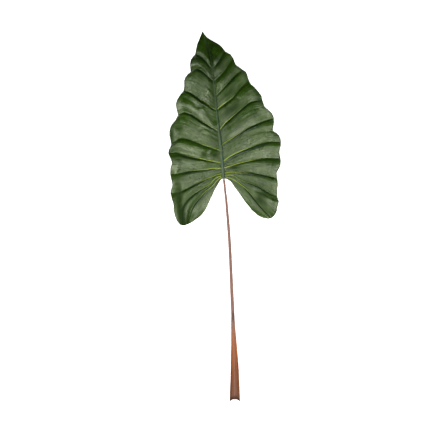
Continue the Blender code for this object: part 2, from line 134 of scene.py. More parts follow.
def toWorld(points):
    flat = np.asarray(points, float)
    right = (flat[..., 0] - planCentre[0]) * metresPerPoint
    up = (planCentre[1] - flat[..., 1]) * metresPerPoint
    return np.stack([right, up], axis=-1)


def chordShares(points):
    steps = np.linalg.norm(np.diff(points, axis=0), axis=1)
    total = np.concatenate([[0], np.cumsum(steps)])
    return total / total[-1]


def smoothAlong(points, shares):
    points = np.asarray(points, float)
    knots = chordShares(points)
    slopes = np.gradient(points, knots, axis=0)
    shares = np.clip(shares, 0, 1)
    spot = np.clip(np.searchsorted(knots, shares, side="right") - 1, 0, len(knots) - 2)
    width = (knots[spot + 1] - knots[spot])[:, None]
    t = ((shares - knots[spot]) / width[:, 0])[:, None]
    return (
        (2 * t**3 - 3 * t**2 + 1) * points[spot]
        + (t**3 - 2 * t**2 + t) * width * slopes[spot]
        + (3 * t**2 - 2 * t**3) * points[spot + 1]
        + (t**3 - t**2) * width * slopes[spot + 1]
    )


def straightAlong(points, shares):
    points = np.asarray(points, float)
    knots = chordShares(points)
    return np.stack([np.interp(shares, knots, points[:, k]) for k in range(2)], axis=1)


def easeStep(low, high, value):
    t = np.clip((value - low) / (high - low), 0, 1)
    return t * t * (3 - 2 * t)


midribFine = smoothAlong(midribPlan, np.linspace(0, 1, 400))
midribLine = smoothAlong(midribPlan, np.linspace(0, 1, 160))


def midribAt(row):
    return np.array([np.interp(row, midribFine[:, 1], midribFine[:, 0]), row])


def distanceToLine(points, line):
    start, step = line[:-1], np.diff(line, axis=0)
    offset = points[..., None, :] - start
    share = np.clip((offset * step).sum(-1) / (step**2).sum(-1), 0, 1)
    gap = np.linalg.norm(offset - share[..., None] * step, axis=-1)
    return gap.min(axis=-1)


def bell(gap, reach):
    return np.exp(-((gap / reach) ** 2))


def fromTable(table, place):
    return np.interp(place, *zip(*table))


# Blade

blade = {
    "thickness": 0.0012,
    "halfColumns": 56,
    "nearMidrib": [0.3, 0.55, 0.78, 0.93, 1.05, 1.3, 1.7],  # columns, in half midrib widths
    # Midrib: metres, and (row of the picture, value) tables
    "midribWidth": 0.0068,
    "midribTaper": [(31, 0.18), (60, 0.34), (100, 0.58), (140, 0.8), (180, 1.0)],
    "midribRise": 0.0024,
    "midribKeel": 0.0026,
    "midribHeight": [(31, 0.003), (38, 0.0085), (48, 0.0150), (58, 0.0200), (70, 0.0235),
                     (85, 0.0255), (105, 0.0265), (140, 0.0265), (160, 0.0250), (179.3, 0.0215)],
    # Height of the margin at each station
    "leftMarginHeight": [0.003, 0.012, 0.0115, 0.011, 0.012, 0.0105, 0.008, 0.008, 0.010,
                         0.009, 0.008, 0.004, 0.005, 0.007],
    "rightMarginHeight": [0.003, 0.013, 0.0125, 0.0125, 0.0125, 0.0115, 0.009, 0.009, 0.011,
                          0.012, 0.0125, 0.009, 0.004, 0.006],
    "fullLength": 34,  # in points: a shorter row, near the tip, has less relief
    "slopeBend": 1.8,  # how late a half falls away to its margin
    "archRise": 0.0035,
    "archLean": 0.8,
    "channelDepth": 0.0012,  # the blade dips beside the midrib
    "channelReach": 3.4,
    "channelTaper": [(0, 0.3), (1, 0.7), (8, 1), (12, 0.8), (13, 0.5)],  # by station
    "edgeCurl": 0.0012,
    "edgeCurlFrom": 0.9,
    "floorSoft": 0.0016,  # edges closer to the floor than this are eased up
    "footReach": 3,  # points around the tip and the lobes' feet that may touch it
    "lobesFrom": 10,
    # Veins, with the groove in the crease under each and the strip between the two
    "veinRise": 0.0011,
    "veinKeel": 0.0012,
    "veinWidth": 0.0026,
    "veinTaper": 0.6,
    "grooveDepth": 0.0004,
    "grooveHalfWidth": 0.8,
    "stripFrom": 1.4,  # points: a crease nearer to its vein has no strip
    "stripSpread": 2.6,
    # The panel below each vein: height of its bulge, where its rise ends and where its fall
    # starts (0 at the vein above, 1 at the vein below), how deep it dips, how far under the
    # vein the crease runs in points, and how strong the crease is
    "leftPanels": {
        0: (0.0050, 0.50, 0.83, 0.0, 1.4, 0.0),
        1: (0.0042, 0.36, 0.72, 0.0, 1.0, 1.0),
        2: (0.0080, 0.12, 0.18, 0.0004, 1.1, 1.0),
        4: (0.0074, 0.09, 0.12, 0.0004, 1.3, 1.0),
        5: (0.0060, 0.09, 0.12, 0.0004, 1.3, 1.0),
        7: (0.0046, 0.28, 0.38, 0.0008, 1.5, 0.7),
        8: (0.0066, 0.24, 0.34, 0.0008, 1.6, 0.35),
        9: (0.0044, 0.15, 0.24, 0.0008, 1.9, 0.9),
        10: (0.0056, 0.15, 0.26, 0.0008, 1.7, 0.8),
        11: (0.0046, 0.28, 0.48, 0.0004, 1.9, 0.8),
        12: (0.0040, 0.14, 0.42, 0.0016, 1.9, 0.9),
    },
    "rightPanels": {
        0: (0.0054, 0.55, 0.89, 0.0, 1.4, 0.0),
        1: (0.0042, 0.38, 0.50, 0.0, 1.0, 1.0),
        2: (0.0050, 0.40, 0.52, 0.0, 1.2, 0.3),
        3: (0.0062, 0.18, 0.40, 0.0004, 1.3, 1.0),
        4: (0.0072, 0.20, 0.33, 0.0008, 1.5, 0.3),
        5: (0.0062, 0.10, 0.16, 0.0006, 1.5, 1.0),
        6: (0.0068, 0.11, 0.18, 0.0006, 2.9, 1.0),
        8: (0.0054, 0.16, 0.24, 0.0010, 2.7, 1.0),
        9: (0.0050, 0.14, 0.24, 0.0010, 1.6, 0.25),
        10: (0.0046, 0.08, 0.14, 0.0, 1.7, 0.9),
        11: (0.0040, 0.10, 0.22, 0.0002, 1.9, 0.8),
        12: (0.0042, 0.14, 0.40, 0.0014, 1.6, 0.7),
    },
    # How late a bulge falls: beside the midrib, at the margin. 1 is an even slope
    "leftBend": {"rest": (1.2, 1.2)},
    "rightBend": {0: (1.3, 1.3), 1: (1.4, 1.3), 2: (1.4, 1.3), "rest": (4.5, 1.1)},
    # Share of a panel's bulge that is left at the margin
    "leftOuter": {8: 0.7, 9: 0.7, 10: 0.35},
    "rightOuter": {5: 0.8, 6: 0.9, 8: 0.5, 9: 0.5, 10: 0.8},
    "outerBand": (0.5, 0.95),  # it drops to that share over this part of the way out
    "bulgeWhole": 0.28,  # share of the way out where a bulge has its full height
    "bulgeGrows": (0.75, 0.5),  # beside the midrib, and what is added by the margin
    "bulgeSinks": (0.66, 0.38),  # from where, and by how much at the margin
    "dipSpread": 0.8,  # lower makes a dip wider and flatter
    # Wave of the margin: a lean of 1 puts its crest midway between two veins, less puts it
    # nearer the upper one
    "marginWave": 0.0062,
    "leftLean": 1.0,
    "rightLean": 0.55,
    # Swellings (above nothing) and dents (below): plan point, reach in points, height
    "swellings": [
        ((178, 135), 8.0, 0.0028), ((188, 106), 6.0, 0.0030), ((179, 131), 3.0, 0.0018),
        ((176.5, 139), 5.0, 0.0022), ((258, 98), 5.5, 0.0030), ((262, 200), 6.0, 0.0032),
        ((264, 208), 4.0, 0.0018), ((235, 169.3), 4.5, 0.0026), ((186, 155), 8.0, -0.0012),
        ((194, 213), 6.0, -0.0014), ((252, 90), 8.0, -0.0014), ((268, 116), 6.5, -0.0016),
        ((204.5, 155.5), 3.2, 0.0030), ((214, 156.5), 3.4, 0.0030), ((216, 125), 2.6, 0.0012),
        ((270, 160), 9.0, -0.0012), ((177, 103), 4.0, -0.0016),
    ],
    # Ridges (above nothing) and creases (below): plan points, half width in points, height
    "folds": [
        ([(203, 110), (206, 115), (209, 120), (214, 127)], 2.2, 0.0018),
        ([(184, 98.5), (190, 101), (197, 107)], 2.6, -0.0022),
        ([(211.5, 151), (209, 155), (206.5, 158.5)], 1.3, -0.0020),
        ([(199, 131), (203, 128.5), (208, 130), (216, 135)], 1.5, -0.0006),
        ([(203, 134), (209, 135.5), (216, 139)], 1.5, -0.0005),
        ([(213.5, 98), (211, 95), (209, 91.5)], 1.3, 0.0010),
        ([(228, 100.5), (233, 98.5), (239, 100)], 1.5, -0.0009),
        ([(256, 190.7), (262, 192.7), (268, 195.5), (275, 199)], 2.2, -0.0018),
        ([(259, 147.5), (265, 143), (272, 140.5)], 1.5, -0.0010),
        ([(179, 163), (175.5, 178), (176.5, 187)], 2.8, 0.0013),
        ([(177.5, 186), (179.2, 200), (180.5, 212), (181.8, 221)], 2.9, -0.0050),
        ([(174, 135), (182, 137.5), (192, 141.5)], 3.0, -0.0016),
        ([(172, 149.5), (180, 152), (190, 155), (200, 158)], 2.6, -0.0014),
    ],
    # Matte patches with painted shade, darker and without sheen: plan points, half width in
    # points, amount
    "matteShadePatches": [
        ([(177, 180), (178, 190), (179.5, 202), (181.5, 214), (183.5, 226), (185, 238)], 3.6, 1.3),
        ([(172, 127), (171.5, 137), (172, 145)], 2.0, 0.9),
        ([(180, 130), (180.5, 134)], 2.0, 0.7),
        ([(203.7, 112), (208, 117), (213, 124)], 1.4, 0.8),
        ([(257, 97), (261, 104)], 3.0, 0.9),
        ([(255, 194), (260, 200), (265, 209)], 5.0, 0.9),
        ([(201, 154), (206.5, 155.5)], 2.2, 1.0),
        ([(211.5, 154.5), (217, 156.5)], 2.2, 1.0),
        ([(228, 168.5), (235, 168), (241, 167.5)], 1.8, 1.0),
        ([(212, 84), (213.5, 95), (214.5, 104)], 2.2, 0.6),
        ([(219, 69), (224, 63), (229, 58)], 2.5, 0.4),
        ([(176, 155.5), (186, 158), (196, 160.5)], 2.6, 0.6),
        ([(240, 70), (243.5, 74), (247, 79)], 2.6, 0.9),
        ([(212.5, 66), (214, 68.5), (215.5, 71)], 1.6, 1.0),
        ([(223, 118), (232, 110), (241, 103)], 4.0, 0.8),
        ([(222, 101), (228, 94), (234, 88)], 3.6, 0.9),
    ],
}
# Rows between two veins, closer together beside each of them
nearVein = [0.012, 0.026, 0.042, 0.06, 0.082, 0.11, 0.145]
betweenVeins = nearVein + list(np.linspace(0.185, 0.815, 15)) + [1 - w for w in nearVein[::-1]]
farAway = 99.0  # points: no vein on that side
weldGap = 0.000002


def halfWidthAt(row):
    full = blade["midribWidth"] / 2 / metresPerPoint
    return full * fromTable(blade["midribTaper"], row)


def veinLine(number, veins, shares):
    if number == 0:
        return np.repeat([np.array(midribPlan[0], float)], len(shares), axis=0)
    return smoothAlong([midribAt(stations[number])] + veins[number], shares)


def marginShare(margin, spot):
    near = np.linalg.norm(np.asarray(margin) - np.asarray(spot), axis=1).argmin()
    return chordShares(margin)[near]


# One row of the blade: plan points, weight between its two veins, both numbers, and their gap
def planRow(position, veins, margin, shares):
    numbers = [0] + sorted(veins)
    upper = max(n for n in numbers if n <= position)
    lower = upper if upper == position else min(n for n in numbers if n > position)
    weight = 0 if upper == lower else (position - upper) / (lower - upper)
    above, below = (veinLine(n, veins, shares) for n in (upper, lower))
    ends = [marginShare(margin, veins[n][-1]) if n else 0.0 for n in (upper, lower)]
    blend = (1 - weight) * above + weight * below
    inner = midribAt(float(np.interp(position, range(len(stations)), stations)))
    share = (1 - weight) * ends[0] + weight * ends[1]
    outer = straightAlong(margin, np.array([share]))[0]
    t = shares[:, None]
    line = blend + (1 - t) * (inner - blend[0]) + t * (outer - blend[-1])
    return line, weight, upper, lower, np.linalg.norm(below - above, axis=1)


# Where the columns stand between midrib and margin, and how long the row is
def acrossShares(position, veins, margin):
    probe = np.linspace(0, 0.5, 60)
    line = planRow(position, veins, margin, probe)[0]
    length = np.linalg.norm(np.diff(line, axis=0), axis=1).sum() * 2
    gap = np.maximum.accumulate(distanceToLine(line, midribLine)) + probe * 1e-6
    steps = np.array(blade["nearMidrib"])
    near = np.interp(halfWidthAt(line[0, 1]) * steps, gap, probe)
    near = np.minimum(near, np.linspace(0.03, 0.2, len(steps)))
    count = blade["halfColumns"] - len(steps)
    rest = near[-1] + (1 - near[-1]) * np.linspace(0, 1, count + 1)[1:] ** 0.97
    return np.concatenate([[0], near, rest]), length


# A bulge rises from the vein above, stays up, and falls to the vein below
def panelHeight(panel, weight, along, bend, outer):
    height, riseEnd, fallStart, dip = panel[:4]
    fallen = max(weight - fallStart, 0) / (1 - fallStart)
    power = bend[0] + (bend[1] - bend[0]) * along
    raised = easeStep(0, riseEnd, weight) * (1 - fallen**power)
    least, more = blade["bulgeGrows"]
    sinkFrom, sunk = blade["bulgeSinks"]
    reach = easeStep(0.0, blade["bulgeWhole"], along) * (least + more * along)
    reach = reach * (1 - sunk * easeStep(sinkFrom, 1.0, along))
    reach = reach * (1 - (1 - outer) * easeStep(*blade["outerBand"], along))
    return (height * raised - dip * math.sin(math.pi * weight) ** blade["dipSpread"]) * reach


def smallFolds(points):
    height = np.zeros(len(points))
    for spot, reach, rise in blade["swellings"]:
        gap = np.linalg.norm(points - np.array(spot, float), axis=1)
        height += rise * bell(gap, reach)
    for line, halfWidth, rise in blade["folds"]:
        fine = smoothAlong(line, np.linspace(0, 1, 24))
        height += rise * bell(distanceToLine(points, fine), halfWidth)
    return height


# How much painted shade and matteness the blade has at each point: most along a patch's line, less
# at both its ends
def matteShadeAmount(points):
    dull = np.zeros(len(points))
    marks = np.linspace(0, 1, 40)
    for line, halfWidth, amount in blade["matteShadePatches"]:
        fine = smoothAlong(line, marks)
        gaps = np.linalg.norm(points[:, None] - fine, axis=2)
        share = gaps.argmin(axis=1) / (len(marks) - 1)
        taper = easeStep(-0.2, 0.45, share) * (1 - easeStep(0.65, 1.3, share))
        dull = np.maximum(dull, amount * taper * bell(gaps.min(axis=1), halfWidth))
    return dull


def bladeRow(position, side):
    veins, margin = outlines[side]
    bends, outer = blade[side + "Bend"], blade[side + "Outer"]
    shares, length = acrossShares(position, veins, margin)
    points, weight, upper, lower, panelWidth = planRow(position, veins, margin, shares)
    grown = min(1.0, length / blade["fullLength"])
    # The broad form: from the midrib's height down to the margin's, a little arched
    spine = fromTable(blade["midribHeight"], points[0, 1])
    edge = np.interp(position, range(len(stations)), blade[side + "MarginHeight"])
    arch = np.sin(math.pi * shares ** blade["archLean"])
    rise = blade["archRise"] * grown * arch * (1 - shares)
    height = spine + (edge - spine) * shares ** blade["slopeBend"] + rise
    # The bulge between two veins, and the small folds on it
    panel = blade[side + "Panels"][min(upper, lastStation - 1)]
    bend = bends.get(upper, bends["rest"])
    height += panelHeight(panel, weight, shares, bend, outer.get(upper, 1.0)) * grown
    height += smallFolds(points)
    # The channel beside the midrib, the wave of the margin and its thin curled edge
    toMidrib = distanceToLine(points, midribLine)
    reach = blade["channelReach"] * float(fromTable(blade["channelTaper"], position))
    height -= blade["channelDepth"] * reach / blade["channelReach"] * bell(toMidrib, reach)
    wave = math.sin(math.pi * weight ** blade[side + "Lean"])
    height += blade["marginWave"] * grown * wave * shares**3
    height -= blade["edgeCurl"] * grown * easeStep(blade["edgeCurlFrom"], 1.0, shares) ** 2
    # Distance in points to the vein above and to the vein below
    under, over = weight * panelWidth, (1 - weight) * panelWidth
    if upper in (0, lastStation):
        under = np.full_like(under, farAway)
    if lower == lastStation:
        over = np.full_like(over, farAway)
    # The raised vein, the groove in the crease under it and the strip between them; the groove
    # also carries painted shade
    ribHalf = blade["veinWidth"] / 2 / metresPerPoint * (1 - blade["veinTaper"] * shares)
    rib = bell(np.minimum(under, over), ribHalf)
    rib = rib * easeStep(0, 0.05, shares) * (1 - shares**1.5)
    height += blade["veinRise"] * rib
    creaseAt, strength = panel[4:]
    fade = easeStep(0.01, 0.08, shares) * (1 - easeStep(0.62, 0.86, shares))
    groove = strength * fade * bell(under - creaseAt, blade["grooveHalfWidth"])
    wide = min(1, max(creaseAt - blade["stripFrom"], 0))
    strip = fade * wide * bell(under - creaseAt / 2, creaseAt / blade["stripSpread"])
    height -= blade["grooveDepth"] * groove * grown
    # The round midrib above the sheet, and its keel and the veins' below
    half = halfWidthAt(points[0, 1])
    roundBack = np.sqrt(np.clip(1 - (toMidrib / half) ** 2, 0, 1))
    slim = half * metresPerPoint * 2 / blade["midribWidth"]
    top = height + blade["midribRise"] * slim * roundBack
    keel = blade["thickness"] + (blade["midribRise"] + blade["midribKeel"]) * slim * roundBack
    keel = keel + blade["veinKeel"] * rib * (1 - roundBack)
    facts = {
        "rib": rib,
        "groove": groove,
        "strip": strip,
        "along": shares,
        "rowAt": np.full_like(shares, position),
        "midribGap": toMidrib / half,
        "dull": matteShadeAmount(points),
    }
    return points, top, keel, facts


def rowPositions():
    found = []
    for number in range(lastStation):
        found += [float(number)] + [number + w for w in betweenVeins]
    return found + [float(lastStation)]


def measureBlade():
    halves = []
    for side in outlines:
        rows = [bladeRow(position, side) for position in rowPositions()]
        facts = {name: np.array([r[3][name] for r in rows]) for name in rows[0][3]}
        halves.append([np.array([r[k] for r in rows]) for k in range(3)] + [facts])
    return settleOnFloor(halves)


# Tip and both lobes come down to the floor, and any lower edge is lifted
def settleOnFloor(halves):
    lobeRows = np.array(rowPositions()) > blade["lobesFrom"]
    feet = []
    for plan, top, keel, facts in halves:
        low = np.where(lobeRows[:, None], top - keel, 1.0)
        spot = np.unravel_index(low.argmin(), low.shape)
        feet.append((*plan[spot], low[spot]))
    plan, top, keel, facts = halves[0]
    feet.append((*plan[0, 0], (top - keel)[0, 0]))
    feet = np.array(feet)
    plane = np.linalg.solve(np.column_stack([feet[:, :2], np.ones(3)]), feet[:, 2])
    soft, around = blade["floorSoft"], blade["footReach"]
    found = []
    for plan, top, keel, facts in halves:
        under = top - keel - (plan @ plane[:2] + plane[2])
        lifted = np.where(under < soft, soft * np.exp(np.minimum(under / soft - 1, 0)), under)
        for x, y, _ in feet:
            near = np.linalg.norm(plan - [x, y], axis=-1)
            eased = lifted * near / around + under * (1 - near / around)
            lifted = np.where(near < around, eased, lifted)
        lifted = np.maximum(lifted, 0.0)
        found.append((plan, lifted + keel, keel, facts))
    return found


def deselectAll():
    for thing in bpy.context.selected_objects:
        thing.select_set(False)


def addGrid(name, across, down):
    deselectAll()
    bpy.ops.mesh.primitive_grid_add(
        x_subdivisions=across, y_subdivisions=down, size=2, location=(0, 0, 0)
    )
    grid = bpy.context.object
    grid.name = name
    return grid


def readPlaces(mesh):
    place = np.empty(len(mesh.vertices) * 3)
    mesh.vertices.foreach_get("co", place)
    return place.reshape(-1, 3)


def writeFacts(mesh, facts):
    for name, values in facts.items():
        mesh.attributes.new(name, "FLOAT", "POINT").data.foreach_set("value", values)


# A flat grid is thickened, and each of its points then goes to its row and column
def makeBlade():
    columns = blade["halfColumns"]
    rows = len(rowPositions()) - 1
    sheet = addGrid("leafSkin", 2 * columns, rows)
    bpy.ops.object.mode_set(mode="EDIT")
    bpy.ops.mesh.select_all(action="SELECT")
    bpy.ops.mesh.extrude_region_move(TRANSFORM_OT_translate={"value": (0, 0, -1)})
    bpy.ops.mesh.select_all(action="SELECT")
    bpy.ops.mesh.normals_make_consistent(inside=False)
    bpy.ops.object.mode_set(mode="OBJECT")
    mesh = sheet.data
    place = readPlaces(mesh)
    column = np.rint((place[:, 0] + 1) * columns).astype(int) - columns
    row = np.rint((1 - place[:, 1]) / 2 * rows).astype(int)
    lower = place[:, 2] < -0.5
    halves = measureBlade()
    side = (column > 0).astype(int)
    across = np.abs(column)
    world = np.zeros_like(place)
    facts = {name: np.zeros(len(place)) for name in halves[0][3]}
    for k, (plan, top, keel, known) in enumerate(halves):
        mine = side == k
        r, c = row[mine], across[mine]
        world[mine, :2] = toWorld(plan[r, c])
        world[mine, 2] = top[r, c] - np.where(lower[mine], keel[r, c], 0)
        for name in facts:
            facts[name][mine] = known[name][r, c]
    facts["half"] = np.sign(column).astype(float)
    facts["underside"] = lower.astype(float)
    mesh.vertices.foreach_set("co", world.ravel())
    writeFacts(mesh, facts)
    bpy.ops.object.mode_set(mode="EDIT")
    bpy.ops.mesh.select_all(action="SELECT")
    bpy.ops.mesh.remove_doubles(threshold=weldGap)
    bpy.ops.mesh.normals_make_consistent(inside=False)
    bpy.ops.object.mode_set(mode="OBJECT")
    bpy.ops.object.shade_smooth()
    return sheet


# Stem

stem = {
    "gap": 0.00035,  # left between the stem and the midrib
    "topHeight": 0.0217,
    "onFloorFrom": 345,  # row of the picture where it has come down to the floor
    "fallBend": 1.35,
    "aroundHalf": 24,
    "rowsAlong": 260,
    # Row of the picture, middle and half width, all in points
    "rows": [
        (179.3, 223.85, 1.25), (184, 224.45, 1.2), (190, 225.0, 1.2), (200, 226.2, 1.3),
        (210, 227.0, 1.35), (220, 227.9, 1.45), (230, 228.7, 1.5), (242, 229.5, 1.5),
        (256, 230.3, 1.55), (270, 230.9, 1.6), (285, 231.5, 1.7), (300, 232.2, 1.78),
        (308, 232.6, 1.78), (315, 232.8, 1.75), (320, 232.95, 1.9), (325, 233.1, 2.15),
        (330, 233.3, 2.35), (335, 233.5, 2.6), (345, 234.0, 3.05), (355, 234.3, 3.6),
        (360, 234.45, 3.83), (365, 234.6, 4.1), (370, 234.7, 4.33), (375, 234.75, 4.47),
        (380, 234.78, 4.63), (385, 234.8, 4.9), (393, 234.8, 5.17), (397, 234.78, 5.3),
        (401.3, 234.75, 5.4),
    ],
    "flatness": [(314, 0.95), (360, 0.6), (401.3, 0.5)],  # height as a share of the width
    # Sheath: where it opens, its wall, and how deep and how long its flat back lies
    "sheathStart": 314,
    "sheathFull": 372,
    "sheathWall": 0.0026,
    "sheathSink": 0.0008,
    "sinkRows": (330, 360),
    "wrapAngle": 75,
    "lipHeights": (0.13, 0.75),  # closed and open, as shares of the stem's half height
    "lipWidth": 0.0011,
    "outerRibs": (9, 0.035),  # how many, and how strong
    "innerRibs": (7, 0.0007),
    # The pointed notch in the cut end: its length in points, where it starts, its shape
    "endNotch": 2.4,
    "notchFrom": 380,
    "notchBend": 1.4,
}


def stemSection(row):
    rows, middles, halfWidths = np.array(stem["rows"], float).T
    endHalf, endRow = halfWidths[-1] * metresPerPoint, rows[-1]
    rows[0] += stem["gap"] / metresPerPoint
    row = max(row, rows[0])
    middle = float(np.interp(row, rows, middles))
    half = float(np.interp(row, rows, halfWidths)) * metresPerPoint
    deep = half * float(fromTable(stem["flatness"], row))
    endDeep = endHalf * float(fromTable(stem["flatness"], endRow))
    fall = min(max((row - rows[0]) / (stem["onFloorFrom"] - rows[0]), 0), 1)
    drop = endDeep - stem["sheathSink"] - stem["topHeight"]
    centre = stem["topHeight"] + drop * (1 - (1 - fall) ** stem["fallBend"])
    centre = max(centre, deep - stem["sheathSink"] * float(easeStep(*stem["sinkRows"], row)))
    return row, middle, half, deep, centre


def stemRing(row):
    row, middle, half, deep, centre = stemSection(row)
    count = stem["aroundHalf"]
    angles = np.radians(np.linspace(-stem["wrapAngle"], stem["wrapAngle"], count + 1))
    side = math.sin(angles[-1])
    part = (np.cos(angles) - math.cos(angles[-1])) / (1 - math.cos(angles[-1]))
    opened = float(easeStep(stem["sheathStart"], stem["sheathFull"], row))
    cut = stem["endNotch"] * float(easeStep(stem["notchFrom"], stem["rows"][-1][0], row))
    closedLip, openLip = stem["lipHeights"]
    lipHeight = (1 - opened) * closedLip * deep + opened * openLip * deep
    lip = stem["lipWidth"] * opened
    ribs, strength = stem["outerRibs"]
    groove = 1 + strength * np.cos(ribs * angles)
    outer = np.stack([half * np.sin(angles), -deep * np.cos(angles) * groove], axis=1)
    closed = deep * np.cos(angles) * groove
    ribs, strength = stem["innerRibs"]
    ridge = strength * np.cos(ribs * angles) * part
    channel = lipHeight - (lipHeight + deep - stem["sheathWall"]) * part + ridge
    innerX = (half - lip / side) * np.sin(angles)
    inner = np.stack([innerX, (1 - opened) * closed + opened * channel], axis=1)
    lips = [(half * side, lipHeight)], [(-half * side, lipHeight)]
    ring = np.concatenate([outer, lips[0], inner[::-1], lips[1]])
    share = np.abs(ring[:, 0]) / (half * side)
    rowHere = row - cut * (1 - share ** stem["notchBend"])
    flat = toWorld(np.stack([np.full(len(ring), middle), rowHere], axis=1))
    place = np.column_stack([flat[:, 0] + ring[:, 0], flat[:, 1], centre + ring[:, 1]])
    place[:, 2] = np.maximum(place[:, 2], 0)
    facts = {
        "crossAt": ring[:, 0] / half,
        "rowAt": np.full(len(ring), row),
        "opened": np.full(len(ring), opened),
        "innerFace": np.concatenate([np.zeros(count + 1), [0.5], np.ones(count + 1), [0.5]]),
    }
    return place, facts


# A flat grid is rolled into a tube of rings, welded along its seam and closed at both ends
def makeStem():
    ringSize = 2 * stem["aroundHalf"] + 4
    count = stem["rowsAlong"]
    tube = addGrid("leafStem", ringSize, count)
    mesh = tube.data
    place = readPlaces(mesh)
    around = np.rint((place[:, 0] + 1) / 2 * ringSize).astype(int) % ringSize
    along = np.rint((place[:, 1] + 1) / 2 * count).astype(int)
    first, last = stem["rows"][0][0], stem["rows"][-1][0]
    rings = [stemRing(first + (last - first) * k / count) for k in range(count + 1)]
    points = np.array([r[0] for r in rings])
    mesh.vertices.foreach_set("co", points[along, around].ravel())
    names = rings[0][1]
    writeFacts(mesh, {n: np.array([r[1][n] for r in rings])[along, around] for n in names})
    bpy.ops.object.mode_set(mode="EDIT")
    bpy.ops.mesh.select_all(action="SELECT")
    bpy.ops.mesh.remove_doubles(threshold=weldGap)
    bpy.ops.mesh.select_mode(type="EDGE")
    bpy.ops.mesh.select_all(action="DESELECT")
    bpy.ops.mesh.select_non_manifold()
    bpy.ops.mesh.fill(use_beauty=True)
    bpy.ops.mesh.select_all(action="SELECT")
    bpy.ops.mesh.normals_make_consistent(inside=False)
    bpy.ops.mesh.select_mode(type="VERT")
    bpy.ops.object.mode_set(mode="OBJECT")
    bpy.ops.object.shade_smooth_by_angle(angle=math.radians(50))
    return tube


# Materials


class Skin:
    def __init__(self, name):
        self.material = bpy.data.materials.new(name)
        self.material.use_nodes = True
        self.nodes = self.material.node_tree.nodes
        self.shader = self.nodes["Principled BSDF"]
        self.colour = None

    # A number, a colour or another node's output goes into a socket
    def feed(self, value, socket):
        if isinstance(value, tuple):
            socket.default_value = (*value, 1)
        elif isinstance(value, (int, float)):
            socket.default_value = value
        elif value is not None:
            self.material.node_tree.links.new(value, socket)

    def give(self, socketName, value):
        self.feed(value, self.shader.inputs[socketName])

    def fact(self, name):
        node = self.nodes.new("ShaderNodeAttribute")
        node.attribute_name = name
        return node.outputs["Fac"]

    def math(self, operation, first, second=None, clamp=False):
        node = self.nodes.new("ShaderNodeMath")
        node.operation = operation
        node.use_clamp = clamp
        self.feed(first, node.inputs[0])
        self.feed(second, node.inputs[1])
        return node.outputs[0]

    def times(self, first, *others):
        for other in others:
            first = self.math("MULTIPLY", first, other)
        return first

    def rest(self, amount):
        return self.math("SUBTRACT", 1.0, amount)

    # The first number where the amount is 0, and the second where it is 1
    def between(self, amount, first, second):
        kept = self.times(first, self.rest(amount))
        return self.math("ADD", kept, self.times(second, amount))

    def span(self, value, low, high, toLow=0.0, toHigh=1.0):
        node = self.nodes.new("ShaderNodeMapRange")
        node.interpolation_type = "SMOOTHSTEP"
        for number, socket in zip((value, low, high, toLow, toHigh), node.inputs):
            self.feed(number, socket)
        return node.outputs[0]

    def noise(self, scale, detail=3.0, roughness=0.55, vector=None):
        if vector is None:
            vector = self.nodes.new("ShaderNodeTexCoord").outputs["Object"]
        node = self.nodes.new("ShaderNodeTexNoise")
        self.feed(scale, node.inputs["Scale"])
        self.feed(detail, node.inputs["Detail"])
        self.feed(roughness, node.inputs["Roughness"])
        self.feed(vector, node.inputs["Vector"])
        return node.outputs["Fac"]

    # Noise in the piece's own two directions, each packed closer by its number
    def drawnOut(self, first, second, packing, scale, detail, roughness):
        node = self.nodes.new("ShaderNodeCombineXYZ")
        self.feed(self.times(first, packing[0]), node.inputs[0])
        self.feed(self.times(second, packing[1]), node.inputs[1])
        return self.noise(scale, detail, roughness, node.outputs[0])

    def blend(self, amount, first, second):
        node = self.nodes.new("ShaderNodeMix")
        node.data_type = "RGBA"
        self.feed(amount, node.inputs[0])
        self.feed(first, node.inputs[6])
        self.feed(second, node.inputs[7])
        return node.outputs[2]

    # One more colour over what is there, by the product of the amounts
    def paint(self, colour, *amounts):
        self.colour = self.blend(self.times(*amounts), self.colour, colour)

    def bump(self, height, distance, strength, under=None):
        node = self.nodes.new("ShaderNodeBump")
        self.feed(distance, node.inputs["Distance"])
        self.feed(strength, node.inputs["Strength"])
        self.feed(height, node.inputs["Height"])
        self.feed(under, node.inputs["Normal"])
        return node.outputs[0]


bladeLook = {
    "deep": (0.0080, 0.027, 0.0002),
    "leaf": (0.018, 0.047, 0.0006),
    "light": (0.034, 0.072, 0.009),
    "streak": (0.005, 0.017, 0.0001),
    # painted shade in the matte patches
    "dull": (0.006, 0.022, 0.0002),
    # painted shade for the darker tip
    "tip": (0.0035, 0.012, 0.0001),
    "vein": (0.26, 0.335, 0.032),
    # painted highlight along the veins' crests near the tip
    "crestHighlight": (0.10, 0.14, 0.075),
    "midrib": (0.030, 0.066, 0.045),
    # painted highlight along the midrib's left edge
    "rimHighlight": (0.11, 0.17, 0.05),
    # painted shade, in the groove under each vein and beside the midrib
    "groove": (0.006, 0.016, 0.009),
    "strip": (0.020, 0.050, 0.030),
    "underside": (0.075, 0.125, 0.045),
    "roughness": 0.29,
    "matteRoughness": 0.7,  # added in the dull patches
    "ior": 1.45,
    "sheenTint": (0.95, 1.0, 0.76),
    # Noise scales
    "broadScale": 14,
    "mottleScale": 60,
    "tipShadeScale": 38,
    "matteShadeScale": 50,
    "glossScale": 40,
    "grainScale": 420,
    # How closely these are packed along a side vein and down the blade
    "fineVeins": (2.4, 14.0),
    "streaks": (3.5, 36.0),
    "wrinkles": (7.0, 3.2),
    # Bumps: metres, strength
    "wrinkleBump": (0.0015, 0.45),
    "fineBump": (0.0014, 0.6),
    "streakBump": (0.0004, 0.5),
    "grainBump": (0.00012, 0.3),
}


